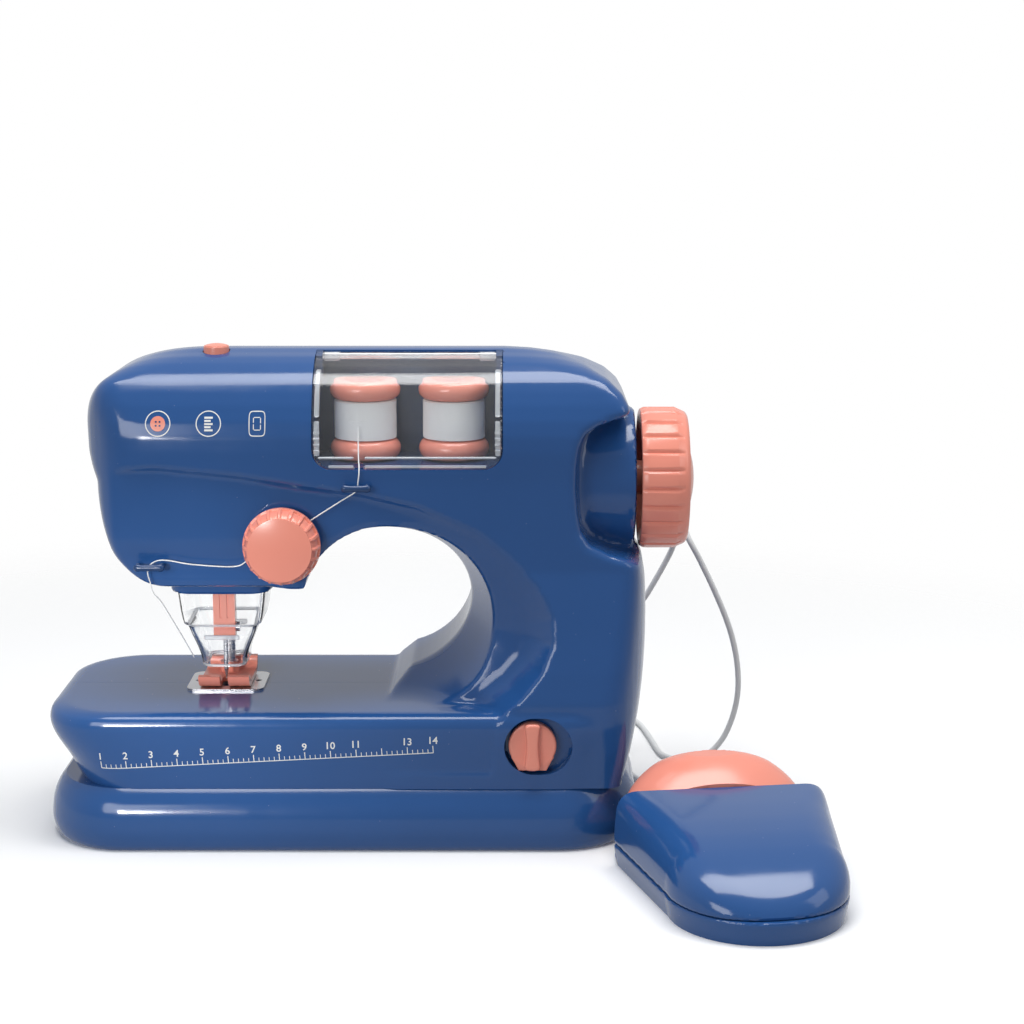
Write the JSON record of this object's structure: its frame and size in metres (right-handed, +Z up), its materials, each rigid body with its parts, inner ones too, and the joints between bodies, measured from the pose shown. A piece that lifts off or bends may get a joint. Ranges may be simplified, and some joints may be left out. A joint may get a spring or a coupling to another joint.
{
  "type": "toy sewing machine",
  "caption": "Battery toy sewing machine in glossy blue and salmon plastic: handwheel, spools behind a clear cover, needle and presser foot, lamp, and a foot pedal on a white cord.",
  "frame": {"origin": "middle of the flat underside of the machine's plinth", "axes": "+X along the arm from needle to handwheel, +Y to the back, +Z up"},
  "size_m": [0.3154, 0.2835, 0.1996],
  "materials": {
    "blue_plastic": "glossy navy blue moulding",
    "dark_blue_plastic": "darker blue moulding",
    "salmon_plastic": "glossy salmon moulding",
    "clear_plastic": "clear moulding",
    "steel": "plain steel",
    "brass": "sintered brass",
    "white_plastic": "white acetal",
    "black_plastic": "black plastic",
    "thread": "spun thread",
    "cord_white": "soft white cord",
    "reflector": "bright reflector"
  },
  "bodies": {
    "machine": {"base_tray": "blue_plastic", "base_screws": "steel", "battery_box": "dark_blue_plastic", "battery_cells": "black_plastic", "battery_contacts": "steel", "battery_door": "blue_plastic", "door_screw": "steel", "front_casing": "blue_plastic", "rear_casing": "blue_plastic", "casing_screws": "steel", "needle_plate": "steel", "needle_guard": "clear_plastic", "spool_tray": "dark_blue_plastic", "spool_pins": "dark_blue_plastic", "cover_hinge_pin": "steel", "upper_thread": "thread", "upper_thread_guide": "dark_blue_plastic", "lower_thread_guide": "dark_blue_plastic", "tension_post": "steel", "shaft_bushes": "brass", "motor": "steel", "presser_spring": "steel", "lamp_reflector": "reflector", "lamp_diode": "white_plastic", "lamp_lens": "clear_plastic", "light_switch": "black_plastic", "power_switch": "black_plastic", "pedal_base": "blue_plastic", "pedal_housing": "blue_plastic", "pedal_hinge_pin": "steel", "pedal_switch": "black_plastic", "pedal_screws": "steel", "pedal_spring": "steel", "cord_glands": "cord_white", "pedal_cord_run": "cord_white", "pedal_cord_coil": "cord_white", "pedal_cord_tail": "cord_white", "cord_tie": "black_plastic"},
    "drive": {"handwheel": "salmon_plastic", "main_shaft": "steel", "drive_gear": "white_plastic", "crank_disc": "white_plastic"},
    "motor_pinion": {"motor_pinion": "brass"},
    "needle_bar": {"needle_bar": "salmon_plastic", "needle_yoke": "white_plastic", "needle": "steel", "needle_clamp_screw": "steel"},
    "presser": {"presser_bar": "steel", "presser_foot": "salmon_plastic"},
    "spool_cover": {"spool_cover": "clear_plastic"},
    "left_spool": {"left_spool": "salmon_plastic", "left_thread": "thread"},
    "right_spool": {"right_spool": "salmon_plastic", "right_thread": "thread"},
    "tension_knob": {"tension_knob": "salmon_plastic"},
    "light_button": {"light_button": "salmon_plastic"},
    "power_knob": {"power_knob": "salmon_plastic"},
    "pedal_treadle": {"pedal_treadle": "salmon_plastic"}
  },
  "joints": [
    {"name": "drive_turn", "type": "hinge", "parent": "machine", "child": "drive", "pos_m": [0.13, 0, 0.1436], "axis": [1, 0, 0], "continuous": true},
    {"name": "motor_pinion_turn", "type": "hinge", "parent": "machine", "child": "motor_pinion", "pos_m": [0.0865, 0, 0.1226], "axis": [1, 0, 0], "continuous": true},
    {"name": "needle_stroke", "type": "slide", "parent": "machine", "child": "needle_bar", "axis": [0, 0, -1], "range_m": [0, 0.014]},
    {"name": "presser_lift", "type": "slide", "parent": "machine", "child": "presser", "axis": [0, 0, 1], "range_m": [0, 0.004], "stiffness_N_per_m": 300, "springref_m": -0.004, "deforming": ["presser_spring"]},
    {"name": "spool_cover_hinge", "type": "hinge", "parent": "machine", "child": "spool_cover", "pos_m": [0.0277, -0.009, 0.1942], "axis": [-1, 0, 0], "range_deg": [0, 100]},
    {"name": "left_spool_turn", "type": "hinge", "parent": "machine", "child": "left_spool", "pos_m": [0.00975, -0.011, 0.17], "axis": [0, 0, 1], "continuous": true},
    {"name": "right_spool_turn", "type": "hinge", "parent": "machine", "child": "right_spool", "pos_m": [0.0455, -0.011, 0.17], "axis": [0, 0, 1], "continuous": true},
    {"name": "tension_knob_turn", "type": "hinge", "parent": "machine", "child": "tension_knob", "pos_m": [-0.022, -0.045, 0.1232], "axis": [0, -1, 0], "range_deg": [0, 270]},
    {"name": "light_button_press", "type": "slide", "parent": "machine", "child": "light_button", "axis": [0, 0, -1], "range_m": [0, 0.0015], "stiffness_N_per_m": 500, "springref_m": -0.0006},
    {"name": "power_knob_slide", "type": "slide", "parent": "machine", "child": "power_knob", "axis": [1, 0, 0], "range_m": [0, 0.0035]},
    {"name": "pedal_press", "type": "hinge", "parent": "machine", "child": "pedal_treadle", "pos_m": [0.15123, -0.05707, 0.011], "axis": [-0.9903, -0.1392, 0], "range_deg": [0, 6], "stiffness_Nm_per_rad": 3, "springref_deg": -2.86, "deforming": ["pedal_spring"]}
  ],
  "couplings": [
    {"joint": "motor_pinion_turn", "follows": "drive_turn", "ratio": -3.2}
  ]
}
